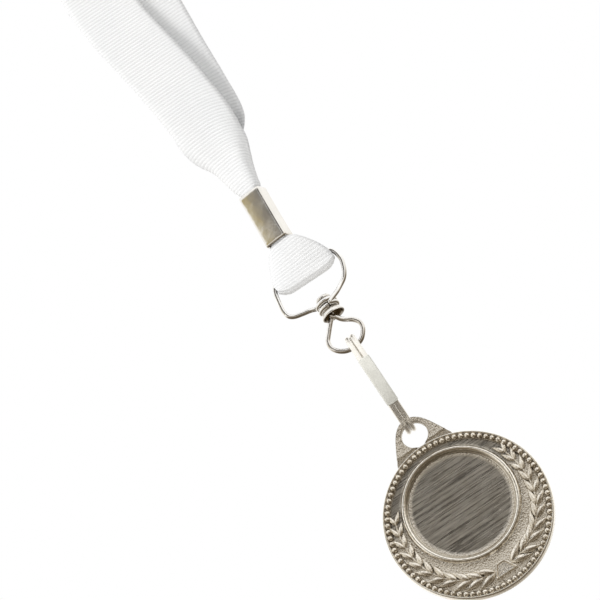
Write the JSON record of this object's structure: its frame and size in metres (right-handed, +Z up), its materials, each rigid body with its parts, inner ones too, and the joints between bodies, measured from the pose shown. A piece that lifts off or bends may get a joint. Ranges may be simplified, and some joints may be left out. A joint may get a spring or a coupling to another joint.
{
  "type": "award medal",
  "caption": "Round award medal with a laurel border and a blank round seat, hung by a ring and a wire swivel from a crimped neck ribbon.",
  "frame": {"origin": "the point where the folded neck ribbon bears on the peg or hook that holds the medal up", "axes": "+Z up, against gravity; the medal's decorated face looks towards -Y; +X to the right seen from the front"},
  "size_m": [0.04, 0.0276, 0.2556],
  "materials": {
    "ribbon": "white ribbed grosgrain",
    "tie": "soft white woven tape",
    "crimp": "nickel plated, polished",
    "wire": "nickel plated wire",
    "swivel": "nickel plated, tumbled",
    "ring": "nickel plated wire",
    "sleeve": "satin nickel",
    "medal": "antique nickel silver, brushed flats"
  },
  "bodies": {
    "ribbon": {"neck_ribbon_hank": "ribbon", "hank_tie": "tie", "neck_ribbon_front_strand": "ribbon", "neck_ribbon_back_strand": "ribbon", "ribbon_crimp": "crimp", "neck_ribbon_fold": "ribbon"},
    "strap_link": {"strap_loop": "wire", "swivel_cup": "swivel"},
    "eye_link": {"swivel_eye": "wire", "swivel_button": "swivel"},
    "ring_link": {"split_ring": "ring", "ring_sleeve": "sleeve"},
    "medal": {"medal_casting": "medal"}
  },
  "joints": [
    {"name": "strap_swing", "type": "hinge", "parent": "ribbon", "child": "strap_link", "pos_m": [0, 0, -0.15725], "axis": [1, 0, 0], "range_deg": [-80, 80]},
    {"name": "swivel_spin", "type": "hinge", "parent": "strap_link", "child": "eye_link", "pos_m": [0, 0, -0.16935], "axis": [0, 0, 1], "continuous": true},
    {"name": "ring_swing", "type": "hinge", "parent": "eye_link", "child": "ring_link", "pos_m": [0, 0, -0.18135], "axis": [1, 0, 0], "range_deg": [-60, 60]},
    {"name": "medal_swing", "type": "hinge", "parent": "ring_link", "child": "medal", "pos_m": [0, 0, -0.20849], "axis": [0, 1, 0], "range_deg": [-75, 75]}
  ]
}
